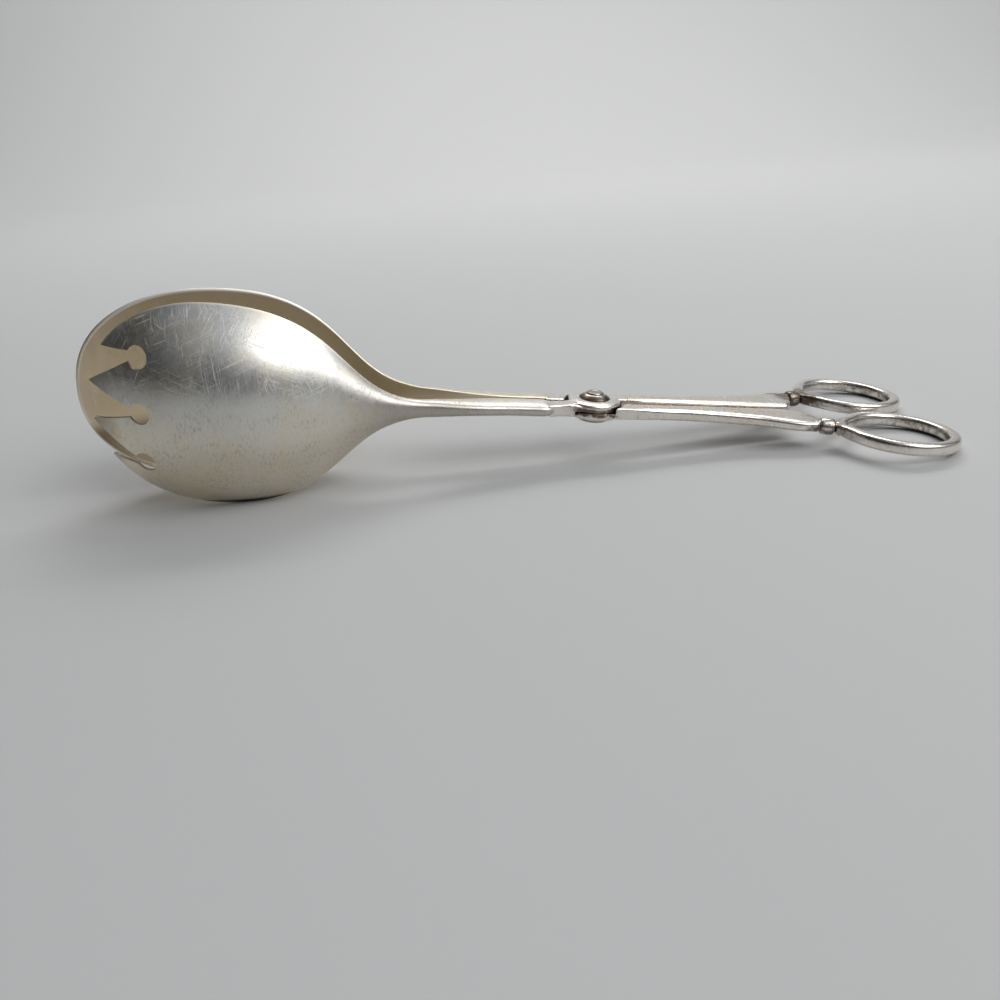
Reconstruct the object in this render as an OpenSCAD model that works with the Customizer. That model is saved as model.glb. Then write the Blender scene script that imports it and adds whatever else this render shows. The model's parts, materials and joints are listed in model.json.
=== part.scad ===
// Scissor-action salad tongs in worn silver plate. A pierced fork bowl and a spoon bowl face each other
// on two crossed levers that turn on one rivet, and each lever ends in a finger ring.
// The tongs lie on their side, nearly closed, with the rivet leaning towards the rings. Units are mm.

/* [Levers] */
// Distance from the rivet to the tip of the spoon
spoon_reach = 155.5; // [150:0.5:162]
// How much shorter the fork is than the spoon
fork_short = 6.2; // [4:0.2:9]
// Distance from the rivet to the middle of a finger ring, measured along the tongs
ring_reach = 91.5; // [88:0.5:97]
// Gap between the two finger rings as the tongs lie
ring_gap = 2.6; // [2.4:0.1:5]

/* [Bowls] */
// Width of a bowl across its rim
bowl_w = 60; // [54:1:66]
// Depth of a bowl from its rim to the outside of its back
bowl_depth = 13; // [10:0.5:15]
// Distance from the rivet to the widest part of a bowl
bowl_widest = 113.5; // [110:0.5:117]
// Thickness of the sheet in the bowls
sheet_t = 1.2; // [1:0.1:1.6]
// Width of the flat edge round a bowl's rim
rim_w = 0.9; // [0.6:0.1:1.4]
// Gap between the two rims at the tips
tip_gap = 7.4; // [6.6:0.2:10]
// Gap between the two rims where they stand furthest apart
belly_gap = 20.4; // [17:0.2:24]

/* [Fork slots] */
// Diameter of the round hole at the inner end of a slot
keyhole_d = 6.2; // [5:0.1:7]
// Width of a slot where it leaves its round hole
slot_w = 2.8; // [2:0.1:3.6]
// Spacing of the round holes across the fork
slot_pitch = 15.3; // [14:0.1:16.4]
// Distance from the fork's tip back to the round holes
keyhole_back = 17; // [15:0.5:20]

/* [Shanks] */
// Width of a shank next to the pivot
shank_w = 7; // [6.4:0.1:8]
// Height of a shank next to the pivot
shank_t = 4.3; // [4:0.1:4.8]
// Gap between the two shanks
shank_gap = 1.6; // [1.4:0.1:2.4]
// Distance from the rivet to the rounded end of a shank
shoulder_x = 14; // [13.2:0.1:15.5]

/* [Pivot] */
// Diameter of each half-lapped disc
disc_d = 16.2; // [15.4:0.1:17]
// Height of the levers at the half-lap joint
lap_t = 3.5; // [3.2:0.1:3.8]
// How far the middle of each disc stands proud of its lever
boss_h = 1.1; // [0.8:0.1:1.4]
// Gap between the faces of the two discs, and above the burr washer
lap_gap = 0.2; // [0.15:0.01:0.3]
// Gap between a disc and the curved step that it turns in
step_gap = 1.2; // [0.8:0.1:1.5]
// Diameter of the rivet's shank
rivet_d = 4; // [3.4:0.1:4.4]
// Radial play of the rivet in the spoon lever
rivet_play = 0.05; // [0.03:0.01:0.08]
// Diameter of the domed washer
dome_d = 9.6; // [9:0.1:10.4]
// Height of the domed washer
dome_h = 1.4; // [1.2:0.1:1.8]
// Diameter of the rivet's button
button_d = 5.3; // [4.8:0.1:6]

/* [Arms] */
// Width of an arm next to the pivot
arm_w = 5.7; // [5.2:0.1:6.2]
// Width of the paddle at the end of an arm
paddle_w = 13.6; // [12.4:0.1:14.4]
// Height of an arm
arm_t = 3.7; // [3.6:0.1:4.2]

/* [Finger rings] */
// Outside diameter of a finger ring
ring_od = 35; // [33:0.1:36]
// Inside diameter of a finger ring
ring_id = 27.6; // [26:0.1:28.4]
// Height of a finger ring
ring_t = 3.9; // [3.5:0.1:4.4]
// Tilt of each finger ring about the length of the tongs, in degrees
ring_tilt = 2; // [0:0.5:3]
// Diameter of the beaded collar
collar_d = 5.2; // [4.8:0.1:5.6]
// Length of the collar's bead
collar_l = 4.4; // [3.6:0.1:4.8]
// Diameter of the ring's stem inside the collar
stem_d = 2.2; // [1.8:0.1:2.4]

/* [Hidden] */
$fn = 96;
plate = [0.73, 0.70, 0.64];
gilt = [0.66, 0.58, 0.44];
dark = [0.45, 0.43, 0.40];
eps = 0.01;

// Rings, with the root that flares from the collar into the ring
ring_ro = ring_od / 2;
ring_ri = ring_id / 2;
ring_y = ring_ro + ring_gap / 2;
ring_soft = 1.3;
ring_soft_in = 0.9;
root_l = 1.4;
root_w = 4.4;
root_flare = 17;
root_curve = 1.6;
root_steps = 8;
root_overlap = 3;
root_thin = 0.4;

// Pivot heights, with the half-lap split at z = 0
lap_top = lap_t / 2;
disc_r = disc_d / 2;
step_r = disc_r + step_gap;
neck_inset = 1.3;
lip_r = 0.8;
disc_fall = 0.35;
waist = 0.9;
waist_x = 10;
waist_half = 4.5;
washer_t = 0.9;
head_h = 0.8;
button_h = 0.5;
skirt_h = 0.7;
skirt_in = 0.9;
crown_h = 0.5;
head_over = 0.4;
dome_top_r = dome_d / 2 - skirt_in;
seat_z = lap_top + boss_h;

// Bowls and shanks, by distance from the rivet
fork_reach = spoon_reach - fork_short;
bowl_hw = bowl_w / 2;
rim_back = 0.5;
hollow = bowl_depth + rim_back - sheet_t;
strip_t = 2.7;
edge_w = 0.3;
shoulder_soft = 3;
bar_x = 28;
part_x = 30;
part_gap = 0.2;
soft_x = 44;
flare_x = 48;
heel_x = 50;
heel_hh = 2.6;
heel_pull_x = 79;
heel_pull_h = 2;
dish_x = 58;
dish_lead = 2;
swell_x = 64;
round_x = 78;
belly_x = 97;
full_x = 108;
toe_x = 125;
belly_pull = 40;
bulge_curve = 2.6;
sides = 14;

// Fork tines, by how far their points lie behind the fork's tip
tine_back = 0.3;
outer_tine_back = 4.7;
neck_lap = 0.4;

// Arms, which end where the ring's stem and collar begin
groove_w = 0.6;
groove_d = 0.9;
bead_bulge = 0.4;
arm_in = 2.1;
arm_end_w = 4.2;
paddle_draw = 0.2;
end_out = arm_in + paddle_w - paddle_draw;
end_near = end_out - arm_end_w;
collar_run = 2 * groove_w + collar_l;
stem_run = collar_run + root_l;
stem_y = end_out - arm_end_w / 2;
stem_x = ring_reach - sqrt(pow(stem_run + ring_ro, 2) - pow(ring_y - stem_y, 2));
stem_dir = atan2(ring_y - stem_y, ring_reach - stem_x);
stem_in = 7;
stem_short = 0.2;
end_trim = 0.6;
arm_end = stem_x + end_trim;
arm_start = step_r + 1.2;
root_inset = 0.4;
root_low = 0.05;
blend_up = 4.8;
blend_round = 8.8;
slim_x = arm_start + 6.8;
even_x = slim_x + 12;
even_swell = 0.4;
paddle_x = arm_end - 6;
widen_x = paddle_x - 13;
turn_x = paddle_x + 1;
draw_x = paddle_x + 3.2;
near_x = paddle_x + 4.7;
tenon = [8, 3, 2];
tenon_in = 0.2;
tenon_y = shank_gap / 2 + shank_w / 2 - tenon_in;
braze = 0.04;

// Smooth step from 0 to 1 between a and b
function ease(a, b, x) = let (t = min(max((x - a) / (b - a), 0), 1)) t * t * (3 - 2 * t);

// Smooth curve through a short list of [x, y] knots
function knot(k, x, i = 0) = (i >= len(k) - 2 || x < k[i + 1][0]) ? i : knot(k, x, i + 1);
function pitch(k, i) =
    let (a = max(i - 1, 0), b = min(i + 1, len(k) - 1))
    (k[b][1] - k[a][1]) / (k[b][0] - k[a][0]);
function curve(k, x) =
    let (i = knot(k, x), w = k[i + 1][0] - k[i][0], t = (x - k[i][0]) / w, u = 1 - t)
    k[i][1] * (1 + 2 * t) * u * u + k[i + 1][1] * (3 - 2 * t) * t * t
    + w * t * u * (pitch(k, i) * u - pitch(k, i + 1) * t);

// Distance of a lever's inner face from the middle of the tongs
inner_knots = [[shoulder_x, shank_gap / 2], [part_x, shank_gap / 2 + part_gap],
    [flare_x, 0.225 * belly_gap], [swell_x, 0.39 * belly_gap], [belly_x, belly_gap / 2],
    [toe_x, belly_gap / 2 - 0.13 * (belly_gap - tip_gap)], [spoon_reach, tip_gap / 2]];
function inner(s) = curve(inner_knots, s);

// How far the back of the bowl and shank stands out from the inner face
function back(s) = strip_t + (shank_w - strip_t - rim_back) * (1 - ease(part_x, dish_x, s))
    + (bowl_depth - strip_t) * ease(dish_x - dish_lead, full_x, s);
function dish(s) = hollow * ease(dish_x, full_x, s);

// One station: [distance, half height, back] of the outside, then the same of the inside
function bar(s) =
    let (h = shank_t / 2 + (heel_hh - shank_t / 2) * pow(max(s - bar_x, 0) / (heel_x - bar_x), 2))
    [s, h, back(s), s, h - edge_w, 0];
function bezier(a, b, c, d, t) =
    let (u = 1 - t)
    a * u * u * u + 3 * b * u * u * t + 3 * c * u * t * t + d * t * t * t;
function heel(t) =
    let (p = bezier([heel_x, heel_hh], [heel_pull_x, heel_pull_h], [bowl_widest - belly_pull, bowl_hw],
            [bowl_widest, bowl_hw], t))
    [p[0], p[1], back(p[0]), p[0], p[1] - edge_w - (rim_w - edge_w) * t, dish(p[0])];
function tip(a, reach, power) =
    let (u = pow(sin(a), 2 / power), v = pow(cos(a), 2 / power), n = reach - bowl_widest)
    [bowl_widest + n * u, bowl_hw * v, bowl_depth * (1 - pow(u, bulge_curve)),
     bowl_widest + (n - rim_w) * u, bowl_hw * v - min(rim_w, 0.4 * bowl_hw * v),
     hollow * (1 - pow(u, bulge_curve))];
function stations(reach, power) = concat(
    [for (i = [0, 1, 2]) bar(shoulder_x + shoulder_soft * i / 3)],
    [for (i = [0 : 6]) bar(shoulder_x + shoulder_soft + (heel_x - shoulder_x - shoulder_soft) * i / 7)],
    [for (i = [0 : 15]) heel(i / 15)],
    [for (i = [1 : 11]) tip(i * 7.6, reach, power)],
    [for (a = [86.6, 88.4, 89.5]) tip(a, reach, power)]);

// The rounded end of the shank draws in at the shoulder
function drawn_in(s) = 1 - 0.22 * pow(max(1 - (s - shoulder_x) / shoulder_soft, 0), 2);

// Closed section of the bowl or shank at a station, outside first and then inside
function power_of(x, p) = sign(x) * pow(abs(x), p);
function section(q) =
    let (m = ease(soft_x, round_x, q[0]), a = 2 / (3 - 0.4 * m), b = 2 / (3 - 2 * m), k = drawn_in(q[0]))
    concat(
        [for (j = [0 : sides])
            let (t = -90 + 180 * j / sides)
            [-q[0], -inner(q[0]) - rim_back - q[2] * k * pow(max(cos(t), 0), b),
             q[1] * k * power_of(sin(t), a)]],
        [for (j = [sides : -1 : 0])
            let (t = -90 + 180 * j / sides)
            [-q[3], -inner(q[3]) - q[5] * pow(max(cos(t), 0), b), q[4] * k * power_of(sin(t), a)]]);

// Skin over a row of closed sections, with both ends closed
module skin(rings) {
    n = len(rings[0]);
    last = (len(rings) - 1) * n;
    walls = [for (i = [0 : len(rings) - 2], j = [0 : n - 1])
        let (a = i * n + j, b = i * n + (j + 1) % n)
        each [[a, a + n, b + n], [a, b + n, b]]];
    ends = [for (j = [0 : n / 2 - 2])
        let (a = j, b = j + 1, c = n - 2 - j, d = n - 1 - j)
        each [[a, b, c], [a, c, d], [last + d, last + c, last + b], [last + d, last + b, last + a]]];
    polyhedron(points = [for (r = rings) each r], faces = concat(walls, ends), convexity = 10);
}

// The lean of the tongs as they lie: rims and rings touch the table together
rest_pts = stations(spoon_reach, 2.25);
function rim_height(a) = max([for (q = rest_pts) q[1] * cos(a) - q[0] * sin(a)]);
function ring_height(a) =
    let (c = cos(a) * cos(ring_tilt))
    ring_reach * sin(a) + (ring_ro - ring_soft) * sqrt(1 - c * c) + (ring_t / 2 - ring_soft) * c + ring_soft;
function settle(lo, hi, n) =
    let (m = (lo + hi) / 2)
    n == 0 ? m : rim_height(m) > ring_height(m) ? settle(m, hi, n - 1) : settle(lo, m, n - 1);
lean = settle(0, 20, 30);
pivot_z = ring_height(lean);
pivot_x = (spoon_reach - ring_reach - ring_ro) / 2 * cos(lean);

module placed() {
    translate([pivot_x, 0, pivot_z])
        rotate([0, lean, 0])
            children();
}

// The spoon lever is the fork lever turned over about the length of the tongs
module turned_over() {
    rotate([180, 0, 0])
        children();
}

module bowl(reach, power) {
    difference() {
        skin([for (q = stations(reach, power)) section(q)]);
        translate([-shoulder_x - tenon[0] - braze, -tenon_y - tenon[1] / 2 - braze, -tenon[2] / 2 - braze])
            cube([tenon[0] + 1, tenon[1] + 2 * braze, tenon[2] + 2 * braze]);
    }
}

// Plan of one keyhole slot: its neck flares to the two tine points that it runs out between
module slot_plan(z, low, high) {
    x = -fork_reach + keyhole_back;
    neck = x - keyhole_d / 2 + neck_lap;
    far = 3;
    ends = [for (p = [low, high], w = [p == low ? -1 : 1])
        let (a = [neck, z + w * slot_w / 2])
        a + far * (p - a)];
    translate([x, z])
        circle(d = keyhole_d);
    polygon([[x, z - slot_w / 2], [neck, z - slot_w / 2], ends[0], ends[1],
        [neck, z + slot_w / 2], [x, z + slot_w / 2]]);
}

module fork_slots() {
    inner_tip = [-fork_reach + tine_back, 0.37 * slot_pitch];
    outer_tip = [-fork_reach + outer_tine_back, 1.05 * slot_pitch];
    rotate([90, 0, 0])
        linear_extrude(belly_gap + 2 * bowl_depth) {
            slot_plan(0, [inner_tip[0], -inner_tip[1]], inner_tip);
            slot_plan(slot_pitch, inner_tip, outer_tip);
            mirror([0, 1])
                slot_plan(slot_pitch, inner_tip, outer_tip);
        }
}

// Outer edge of the neck, drawn in to a waist between the shank and the disc
function neck_edge(x) = neck_inset - disc_r + waist * max(1 - pow((x + waist_x) / waist_half, 2), 0);

// Plan of the lever at the half-lap joint: a flat neck on one side and the root of the arm on the other
module lap_plan() {
    polygon(concat(
        [for (i = [0 : 12]) let (x = shoulder_x * (i / 12 - 1)) [x, neck_edge(x)]],
        [[0, -shank_gap / 2], [-shoulder_x, -shank_gap / 2]]));
    translate([0, arm_in])
        square([arm_start + step_gap / 2, disc_r - root_inset - arm_in]);
}

// Rounded section of the arm: inner edge, outer edge and half height at a distance from the rivet
arm_out = [[arm_start, disc_r - root_inset], [slim_x, arm_in + arm_w], [even_x, arm_in + arm_w + even_swell],
    [widen_x, arm_in + 0.68 * paddle_w], [paddle_x, arm_in + paddle_w], [arm_end, end_out]];
arm_near = [[arm_start, arm_in + root_inset], [slim_x, arm_in], [turn_x, arm_in],
    [draw_x, arm_in + 0.16 * (end_near - arm_in)], [near_x, arm_in + 0.55 * (end_near - arm_in)],
    [arm_end, end_near]];
arm_x = concat(
    [for (i = [0 : 3]) arm_start + (slim_x - arm_start) * i / 4],
    [for (i = [0 : 11]) slim_x + (turn_x - slim_x) * i / 12],
    [for (i = [0 : 8]) turn_x + (arm_end - turn_x) * i / 8]);
function arm_half(x) = lap_top - root_low
    + (arm_t / 2 - lap_top + root_low) * ease(arm_start, arm_start + blend_up, x);
function arm_section(x) =
    let (a = curve(arm_near, x), b = curve(arm_out, x), n = 24,
        p = 0.15 + 0.35 * ease(arm_start, arm_start + blend_round, x))
    [for (k = [0 : n - 1])
        let (t = -90 + (k + 0.5) * 360 / n)
        [x, (a + b) / 2 + (b - a) / 2 * power_of(cos(t), p), arm_half(x) * power_of(sin(t), p)]];

// Lays a piece that is drawn along z on the axis of the ring's stem
module along_stem() {
    translate([stem_x, stem_y, 0])
        rotate([0, 0, stem_dir])
            rotate([0, 90, 0])
                children();
}

// Half-lapped disc: flat under the washer, with a slight fall to its rounded lip
module disc() {
    rotate_extrude()
        polygon(concat(
            [[0, lap_gap / 2], [disc_r, lap_gap / 2]],
            [for (i = [0 : 5])
                let (a = 90 * i / 5)
                [disc_r - lip_r + lip_r * cos(a), seat_z - disc_fall - lip_r + lip_r * sin(a)]],
            [[dome_d / 2, seat_z], [0, seat_z]]));
}

// Casting of one lever: neck, disc and arm, with a tenon for the shank and a hole for the ring's stem
module handle(bore) {
    difference() {
        union() {
            translate([0, 0, lap_gap / 2])
                linear_extrude(lap_top - lap_gap / 2)
                    lap_plan();
            disc();
            translate([0, 0, -lap_top])
                linear_extrude(lap_top + lap_gap / 2 + eps)
                    difference() {
                        lap_plan();
                        circle(step_r);
                    }
            translate([-shoulder_x - tenon[0], -tenon_y - tenon[1] / 2, -tenon[2] / 2])
                cube([tenon[0] + 1, tenon[1], tenon[2]]);
            skin([for (x = arm_x) arm_section(x)]);
        }
        cylinder(r = bore, h = 4 * seat_z, center = true);
        along_stem()
            cylinder(h = ring_od, r = ring_ro);
        along_stem()
            translate([0, 0, -stem_in])
                cylinder(d = stem_d + 2 * braze, h = ring_od);
    }
}

// Turned bead with a groove on each side, bored for the ring's stem
module collar() {
    neck_r = collar_d / 2 - groove_d;
    along_stem()
        rotate_extrude()
            polygon(concat(
                [[stem_d / 2 + braze, 0], [neck_r, 0], [neck_r, groove_w]],
                [for (i = [0 : 8])
                    let (t = -1 + i / 4)
                    [collar_d / 2 - bead_bulge * t * t, groove_w + collar_l * i / 8]],
                [[neck_r, groove_w + collar_l], [neck_r, collar_run], [stem_d / 2 + braze, collar_run]]));
}

// Section of the finger ring: flat inside and outside, softened at the top and bottom
module ring_profile() {
    w = ring_ro - ring_ri;
    for (s = [0, 1])
        mirror([0, s])
            difference() {
                translate([ring_ri, 0])
                    square([w, ring_t / 2]);
                for (p = [[ring_ri, ring_soft_in, 1], [ring_ro, ring_soft, -1]])
                    difference() {
                        translate([p[0] - (p[2] < 0 ? p[1] : 0), ring_t / 2 - p[1]])
                            square(p[1]);
                        translate([p[0] + p[2] * p[1], ring_t / 2 - p[1]])
                            circle(p[1]);
                    }
            }
}

module at_ring() {
    translate([ring_reach, ring_y, 0])
        rotate([-ring_tilt, 0, 0])
            children();
}

// Finger ring, its flared root, and the stem that runs through the collar into the arm
module ring() {
    root = [for (i = [0 : root_steps])
        let (t = i / root_steps)
        [collar_run + (root_l + root_overlap) * t,
         (root_w + (root_flare - root_w) * pow(t, root_curve)) / 2]];
    at_ring()
        rotate_extrude()
            ring_profile();
    along_stem() {
        translate([0, 0, stem_short - stem_in])
            cylinder(d = stem_d, h = stem_in + stem_run);
        translate([0, 0, collar_run])
            cylinder(d = ring_t - root_thin, h = root_l + 1);
    }
    difference() {
        translate([stem_x, stem_y, 0])
            rotate([0, 0, stem_dir])
                linear_extrude(ring_t - root_thin, center = true)
                    polygon(concat(root, [for (i = [root_steps : -1 : 0]) [root[i][0], -root[i][1]]]));
        at_ring()
            cylinder(r = (ring_ri + ring_ro) / 2, h = 2 * ring_t, center = true);
    }
}

// A spherical cap of radius r and height h on z = 0
module cap(r, h) {
    ball = (r * r + h * h) / (2 * h);
    intersection() {
        translate([0, 0, h - ball])
            sphere(ball);
        cylinder(r = r + 1, h = h + 1);
    }
}

module fork_bowl() {
    color(plate)
        placed()
            difference() {
                bowl(fork_reach, 2.1);
                fork_slots();
            }
}

module fork_handle() {
    color(plate)
        placed()
            handle(rivet_d / 2);
}

module fork_collar() {
    color(dark)
        placed()
            collar();
}

module fork_ring() {
    color(plate)
        placed()
            ring();
}

module spoon_bowl() {
    color(gilt)
        placed()
            turned_over()
                bowl(spoon_reach, 2.25);
}

module spoon_handle() {
    color(plate)
        placed()
            turned_over()
                handle(rivet_d / 2 + rivet_play);
}

module spoon_collar() {
    color(dark)
        placed()
            turned_over()
                collar();
}

module spoon_ring() {
    color(plate)
        placed()
            turned_over()
                ring();
}

// The rivet passes both discs; its button is formed over the domed washer
module pivot_rivet() {
    top = seat_z + dome_h;
    bottom = -seat_z - lap_gap - washer_t;
    color(plate)
        placed() {
            translate([0, 0, bottom])
                cylinder(d = rivet_d, h = top - bottom);
            translate([0, 0, top])
                cap(button_d / 2, button_h);
            translate([0, 0, bottom])
                mirror([0, 0, 1])
                    cap(button_d / 2 + head_over, head_h);
        }
}

module dome_washer() {
    color(dark)
        placed()
            translate([0, 0, seat_z])
                difference() {
                    intersection() {
                        union() {
                            cylinder(d1 = dome_d, r2 = dome_top_r, h = skirt_h);
                            translate([0, 0, skirt_h])
                                cap(dome_top_r, dome_h - skirt_h + crown_h);
                        }
                        cylinder(d = dome_d + 1, h = dome_h);
                    }
                    cylinder(d = rivet_d, h = 4 * dome_h, center = true);
                }
}

// Plain washer that the rivet's lower head is closed on
module burr_washer() {
    color(plate)
        placed()
            translate([0, 0, -seat_z - lap_gap - washer_t])
                difference() {
                    cylinder(d = dome_d, h = washer_t);
                    cylinder(d = rivet_d, h = 4 * dome_h, center = true);
                }
}

fork_bowl();
fork_handle();
fork_collar();
fork_ring();
spoon_bowl();
spoon_handle();
spoon_collar();
spoon_ring();
pivot_rivet();
dome_washer();
burr_washer();
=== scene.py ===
# %% [markdown]
# # Scissor-action salad tongs in worn silver plate
# Two crossed levers turn on one rivet. One ends in a pierced fork bowl and the other in a spoon bowl, and
# each has a ring for a finger at its other end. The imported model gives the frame: every piece below takes
# the place of one solid, with finer surfaces and a real finish, and moves with that solid's body.

# %% Load the frame
import json
import math
import bmesh
import bpy
import numpy as np
from mathutils import Euler, Matrix, Vector


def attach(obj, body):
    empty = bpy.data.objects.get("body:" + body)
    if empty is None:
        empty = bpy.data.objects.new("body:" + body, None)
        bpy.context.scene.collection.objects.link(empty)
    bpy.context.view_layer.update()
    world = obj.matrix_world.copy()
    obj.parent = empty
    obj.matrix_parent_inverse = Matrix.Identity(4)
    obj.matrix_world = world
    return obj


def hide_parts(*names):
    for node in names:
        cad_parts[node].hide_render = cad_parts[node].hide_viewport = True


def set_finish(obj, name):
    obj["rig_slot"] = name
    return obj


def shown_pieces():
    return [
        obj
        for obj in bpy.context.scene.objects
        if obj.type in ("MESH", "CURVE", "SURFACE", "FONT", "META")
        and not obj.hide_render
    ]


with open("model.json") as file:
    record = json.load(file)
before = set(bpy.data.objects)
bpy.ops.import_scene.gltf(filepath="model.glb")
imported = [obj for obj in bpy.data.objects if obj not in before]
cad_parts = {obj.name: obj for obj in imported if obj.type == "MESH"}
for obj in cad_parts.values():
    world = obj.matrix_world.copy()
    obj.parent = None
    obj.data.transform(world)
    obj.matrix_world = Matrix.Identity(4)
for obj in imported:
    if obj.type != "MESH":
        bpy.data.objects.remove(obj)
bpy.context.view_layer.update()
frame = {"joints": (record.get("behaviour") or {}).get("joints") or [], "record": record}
BODY = {n: b for b, nodes in frame["record"]["behaviour"]["bodies"].items() for n in nodes}
SLOT = {p["node"]: p["material_slot"] for p in frame["record"]["subparts"]}

# %% [markdown]
# ## The lever frame
# It is easier to draw a lever lying level than leaning on the table, so the pieces are drawn in millimetres
# round the rivet: X runs to the rings, Y from the fork to the spoon, Z along the rivet. The joint in the
# record says where the rivet is and how it leans, which gives the matrix to the row frame in metres. The
# spoon lever is the fork lever turned over about the length of the tongs.

# %% From the lever to the row
MM = 0.001
pivot = next(j for j in frame["joints"] if j["name"] == "pivot")
up = -np.array(pivot["axis"])
along = np.array([up[2], 0.0, -up[0]])
TO_ROW = np.stack([along, [0.0, 1.0, 0.0], up], axis=1) * MM
PIVOT = np.array(pivot["pos_m"])
TURNED = np.array([1.0, -1.0, -1.0])


def to_row(points, turned=False):
    """Points of a lever in mm, as points of the row in metres."""
    points = np.asarray(points, float)
    if turned:
        points = points * TURNED
    return points @ TO_ROW.T + PIVOT


print("rivet at", PIVOT, "leaning", round(math.degrees(math.atan2(up[0], up[2])), 2), "degrees")

# %% [markdown]
# ## Curves
# The outlines come from a few knots. `ease` is a smooth step, and `curve` runs through its knots without
# corners, so both bend as hammered metal does.

# %% Smooth steps and curves
def ease(a, b, x):
    """A smooth step from 0 at a to 1 at b."""
    t = np.clip((np.asarray(x, float) - a) / (b - a), 0.0, 1.0)
    return t * t * (3 - 2 * t)


def curve(knots, x):
    """A smooth curve through [x, y] knots."""
    kx, ky = np.array(knots, float).T
    x = np.asarray(x, float)
    last = len(kx) - 1
    low, high = np.maximum(np.arange(last + 1) - 1, 0), np.minimum(np.arange(last + 1) + 1, last)
    pitch = (ky[high] - ky[low]) / (kx[high] - kx[low])
    i = np.clip(np.searchsorted(kx, x, side="right") - 1, 0, last - 1)
    w = kx[i + 1] - kx[i]
    t = (x - kx[i]) / w
    u = 1 - t
    return (ky[i] * (1 + 2 * t) * u * u + ky[i + 1] * (3 - 2 * t) * t * t
            + w * t * u * (pitch[i] * u - pitch[i + 1] * t))


def signed_power(x, p):
    """A power that keeps the sign, which squares off or sharpens a circle."""
    return np.sign(x) * np.abs(x) ** p


print("a step from 0 to 10 has risen to", round(float(ease(0, 10, 3)), 3), "at 3")

# %% [markdown]
# ## Making a piece
# A piece is a list of points in the lever frame and a list of faces. It rides on its solid's body, stands
# for that solid, and takes the record's material slot. Faces shade smoothly, apart from edges that turn by
# more than 40 degrees, which stay crisp.

# %% From points and faces to a piece
SHARP_DEG = 40.0
MERGE_MM = 1e-5


def raw_mesh(name, points, faces):
    """A mesh from points and faces, as they come."""
    points = [tuple(p) for p in np.asarray(points, float)]
    faces = [tuple(int(i) for i in f) for f in faces]
    mesh = bpy.data.meshes.new(name)
    mesh.from_pydata(points, [], faces)
    mesh.validate()
    return mesh


def outward(mesh):
    """Joins points that coincide, and turns every face outwards."""
    work = bmesh.new()
    work.from_mesh(mesh)
    bmesh.ops.remove_doubles(work, verts=work.verts, dist=MERGE_MM)
    bmesh.ops.recalc_face_normals(work, faces=work.faces)
    work.to_mesh(mesh)
    work.free()
    return mesh


def points_of(mesh):
    """The mesh's points, one row each."""
    flat = np.zeros(len(mesh.vertices) * 3)
    mesh.vertices.foreach_get("co", flat)
    return flat.reshape(-1, 3)


def settle(mesh, node, turned, sharp_deg=SHARP_DEG):
    """Moves a mesh in lever mm to the row, and lets it stand for the node."""
    outward(mesh)
    mesh.vertices.foreach_set("co", to_row(points_of(mesh), turned).ravel())
    mesh.polygons.foreach_set("use_smooth", [True] * len(mesh.polygons))
    mesh.set_sharp_from_angle(angle=math.radians(sharp_deg))
    mesh.update()
    piece = bpy.data.objects.new(node + "_piece", mesh)
    bpy.context.scene.collection.objects.link(piece)
    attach(piece, BODY[node])
    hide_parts(node)
    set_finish(piece, SLOT[node])
    print(piece.name, len(mesh.vertices), "points", len(mesh.polygons), "faces")


def loft(rows, closed=False):
    """Quads over rows of points, each row closed.

    The row of rows may close on itself too. Otherwise its two ends are capped.
    """
    rows = np.asarray(rows, float)
    count, n = rows.shape[:2]
    faces = []
    for i in range(count if closed else count - 1):
        a, b = i * n, (i + 1) % count * n
        faces += [(a + j, b + j, b + (j + 1) % n, a + (j + 1) % n) for j in range(n)]
    if not closed:
        faces += [tuple(range(n))[::-1], tuple((count - 1) * n + j for j in range(n))]
    return rows.reshape(-1, 3), faces


def lathe(profile, turns=96):
    """A solid turned about Z from [radius, height] points.

    They start and end on the axis, or go round a ring's section.
    """
    t = np.linspace(0, 2 * math.pi, turns, endpoint=False)
    profile = np.array(profile, float)
    rows = [np.stack([profile[:, 0] * math.cos(a), profile[:, 0] * math.sin(a), profile[:, 1]], 1) for a in t]
    return loft(rows, closed=True)


print("solids to stand for", len(BODY))

# %% [markdown]
# ## The bowls
# Each bowl was pressed from sheet and drawn out into a stiff shank. A section across it is an outer arc and
# an inner arc, joined over the rim, so the bowl is a skin over about 150 such sections: first the shank, then
# the heel that opens into the bowl, then the tip. The rim is rounded over, because worn rims catch the light.

# %% Sizes of the bowls and shanks, in mm from the rivet
SPOON_REACH, FORK_REACH = 155.5, 149.3
BOWL_HALF, BOWL_DEPTH, BOWL_WIDEST = 30.0, 13.0, 113.5
RIM_W, RIM_BACK, EDGE_W, SHEET_T = 0.9, 0.5, 0.3, 1.2
HOLLOW = BOWL_DEPTH + RIM_BACK - SHEET_T
BELLY_GAP, TIP_GAP, SHANK_GAP = 20.4, 7.4, 1.6
SHANK_W, SHANK_T, STRIP_T, SHOULDER_X, SHOULDER_SOFT = 7.0, 4.3, 2.7, 13.4, 4.0
BAR_X, PART_X, DISH_X, FULL_X, HEEL_X, HEEL_HALF = 28.0, 30.0, 58.0, 108.0, 50.0, 2.6
FLARE_X, SWELL_X, BELLY_X, TOE_X, SOFT_X, ROUND_X = 48.0, 64.0, 97.0, 125.0, 44.0, 78.0
HEEL_PULL, BELLY_PULL, DISH_LEAD, PART_GAP = (79.0, 2.0), 40, 2, 0.2
BULGE_CURVE = 2.6
FORK_POWER, SPOON_POWER = 2.1, 2.25
FLARE_SHARE, SWELL_SHARE, TOE_SHARE = 0.225, 0.39, 0.13
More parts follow.
